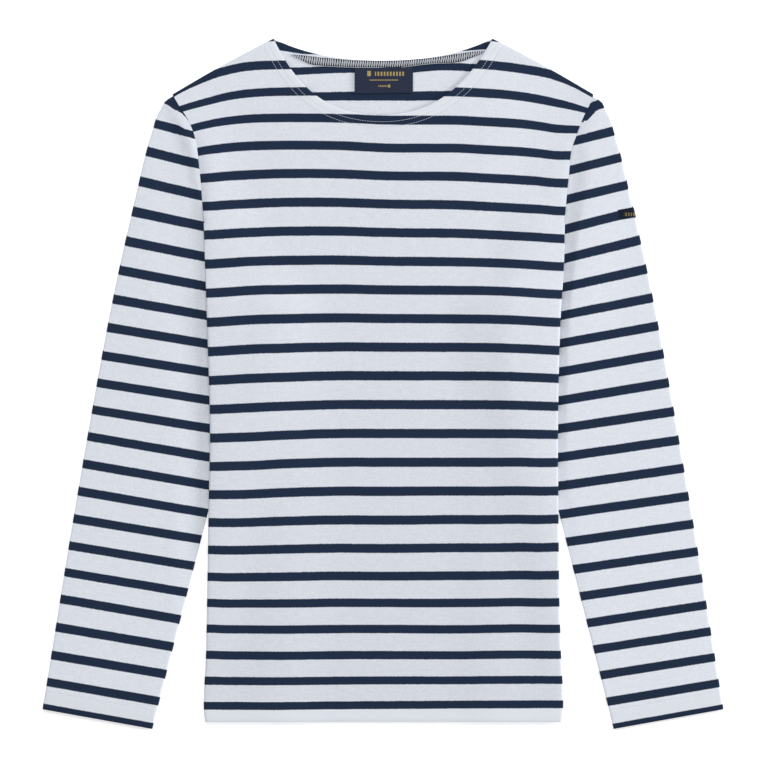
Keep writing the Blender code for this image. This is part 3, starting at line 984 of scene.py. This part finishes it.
def makeSewing():
    pale = makeThread("paleThread", sewing["colour"])
    pitch = sewing["pitch"]
    share, width, above = sewing["neckThread"]
    neck = [neckline(frontNeck, math.sin(math.pi * (i / 160 - 0.5))) for i in range(161)]
    runs = []
    for distance in sewing["neckRows"]:
        line = [p for p in movedInward(neck, distance) if shoulderDistance(*p) > 3]
        runs += seamRuns(line, frontHeight, pitch, above)
    makeStitches("neckStitches", runs, pale, share, width)
    share, width, above = sewing["hemThread"]
    y = body["hemY"] + cloth["hemBand"]
    line = [Vector((x, y)) for x in (edgeX(right, y) + 3, edgeX(left, y) - 3)]
    makeStitches("hemStitches", seamRuns(line, frontHeight, pitch, above), pale, share, width)
    for side, name in ((right, "cuffStitchesRight"), (left, "cuffStitchesLeft")):
        outer, inner = Vector(sleeve["cuffOuter"]), Vector(sleeve["cuffInner"])
        across = (inner - outer).normalized()
        up = Vector((across.y, -across.x)) * sleeve["cuffBand"]
        line = [Vector((side * p.x, p.y)) for p in (outer + up + across, inner + up - across * 2)]
        runs = seamRuns(line, lambda x, y: sleeveHeight(side, x, y), pitch, above)
        makeStitches(name, runs, pale, share, width)


# The overlocked edge inside the back's neck: where its top and foot lie, across the neck.
overlock = {
    "x": (-92, -83, -75, -70, -62, -45, -29, 2, 14, 24, 43, 55, 72, 80, 88, 96.5, 102),
    "top": (329, 328.4, 327.6, 327, 325.9, 324.2, 323, 322.6, 322.8, 323.3, 324.8, 326.3, 329, 330.4,
            331.6, 332.4, 332.7),
    "foot": (328, 323.6, 319.5, 318, 317.3, 316.3, 315.8, 315.5, 315.5, 316.5, 318.9, 319.8, 320.4,
             321.9, 324.9, 328.2, 331.5),
    "gap": (-60, 74),  # no thread runs along the top between these
    "colour": (0.74, 0.78, 0.86, 1),
    "pitch": 2.3,
    "low": 1.05,
    "thick": 0.6,
}


def overlockPoint(x, share, z):
    foot, top = (readCurve(overlock["x"], overlock[key], x) for key in ("foot", "top"))
    return Vector((x, blend(foot, top, share), z))


def makeOverlock(finish):
    first, last = overlock["x"][0], overlock["x"][-1]
    shape = bmesh.new()
    columns = []
    for x in steps(first, last, 1.5):
        points = [overlockPoint(x, share, overlock["low"]) for share in (0, 0.5, 1)]
        columns.append([shape.verts.new(point * mm) for point in points])
    for a, b in zip(columns, columns[1:]):
        for i in (0, 1):
            shape.faces.new((a[i], b[i], b[i + 1], a[i + 1]))
    bmesh.ops.solidify(shape, geom=shape.faces[:], thickness=-overlock["thick"] * mm)
    band = finishPiece("backNeckEdge", shape, finish)
    pale = makeThread("overlockThread", overlock["colour"])
    legs, chain = [], []
    above = overlock["low"] + overlock["thick"] + 0.15
    count = round((last - first) / overlock["pitch"])
    for i in range(count):
        x = blend(first, last, i / count)
        lean = 0.7 * noise.noise(Vector((x / 9, 1, 2)))
        reach = 1.06 + 0.08 * noise.noise(Vector((x * 3, 5, 2)))
        foot, top = overlockPoint(x, 0.02, above), overlockPoint(x + lean + 0.5, reach, above)
        legs.append((foot, top))
        slant = overlockPoint(x + overlock["pitch"] * 0.95, 0.05, above - 0.1)
        chain.append((top + Vector((0, -0.5, -0.1)), slant))
    feet = [overlockPoint(x, 0.0, above) for x in steps(first, last, 1.8)]
    heads = [overlockPoint(x, 0.97, above) for x in steps(first, overlock["gap"][0], 1.8)]
    tails = [overlockPoint(x, 0.97, above) for x in steps(overlock["gap"][1], last, 1.8)]
    rows = [pair for line in (feet, heads, tails) for pair in zip(line, line[1:])]
    makeStitches("overlockLegs", legs, pale, 1.0, 0.9)
    makeStitches("overlockSlants", chain, pale, 1.0, 0.45)
    makeStitches("overlockRows", rows, pale, 1.25, 0.5)
    return band


stage = {"size": 3.0, "low": 0.6, "colour": (0.86, 0.86, 0.87, 1), "glow": 0.45}


def makeStage():
    shape = bmesh.new()
    bmesh.ops.create_grid(shape, x_segments=2, y_segments=2, size=stage["size"])
    bmesh.ops.translate(shape, vec=(0, 0, -stage["low"] * mm), verts=shape.verts[:])
    data = bpy.data.meshes.new("floor")
    shape.to_mesh(data)
    shape.free()
    look = Look("floorPaint", 0.9, 0.0, 0.1)
    look.shader.inputs["Base Color"].default_value = stage["colour"]
    look.shader.inputs["Emission Color"].default_value = (1, 1, 1, 1)
    look.shader.inputs["Emission Strength"].default_value = stage["glow"]
    data.materials.append(look.material)
    floor = bpy.data.objects.new("floor", data)
    bpy.context.scene.collection.objects.link(floor)


lights = {
    "key": {"place": (0.5, 1.9, 2.9), "size": 1.8, "watts": 36},
    "fill": {"place": (-1.6, 0.6, 2.4), "size": 2.4, "watts": 14},
    "rake": {"place": (4.2, 0.9, 1.35), "size": 1.3, "watts": 135},
    "sky": 0.46,
}


def makeLights():
    scene = bpy.context.scene
    world = bpy.data.worlds.new("studio")
    world.use_nodes = True
    world.node_tree.nodes["Background"].inputs[0].default_value = (1, 1, 1, 1)
    world.node_tree.nodes["Background"].inputs[1].default_value = lights["sky"]
    scene.world = world
    for name in ("key", "fill", "rake"):
        lamp = bpy.data.lights.new(name, "AREA")
        lamp.size = lights[name]["size"]
        lamp.energy = lights[name]["watts"]
        holder = bpy.data.objects.new(name, lamp)
        holder.location = lights[name]["place"]
        holder.rotation_euler = (-Vector(lights[name]["place"])).to_track_quat("-Z", "Y").to_euler()
        scene.collection.objects.link(holder)
    scene.view_settings.view_transform = "Standard"


view = {"lens": 150.0, "sensor": 36.0, "frame": 0.768, "middle": (0.001, -0.001, 0.003)}


def makeCamera():
    data = bpy.data.cameras.new("camera")
    data.lens = view["lens"]
    data.sensor_width = view["sensor"]
    data.clip_end = 20
    camera = bpy.data.objects.new("camera", data)
    distance = view["frame"] * view["lens"] / view["sensor"]
    camera.location = Vector(view["middle"]) + Vector((0, 0, distance))
    bpy.context.scene.collection.objects.link(camera)
    bpy.context.scene.camera = camera


makeCamera()
makeLights()
makeStage()
# Painted light: the body's hem band is made whiter towards the hem. The sleeves take a copy of the same
# jersey, made whiter towards the cuffs, with a darker cuff band.
stripedJersey = makeJersey("stripedJersey", (1.0, 1.0, 1.055))
sleeveJerseyPaintedLight = makeJersey("sleeveJerseyPaintedLight", (1.0, 1.07, 0.955))
makeFront(stripedJersey)
makeBack(stripedJersey)
for side in (right, left):
    makeSleeve(side, sleeveJerseyPaintedLight)
makeLabel()
makeTab()
makeSewing()
makeOverlock(stripedJersey)
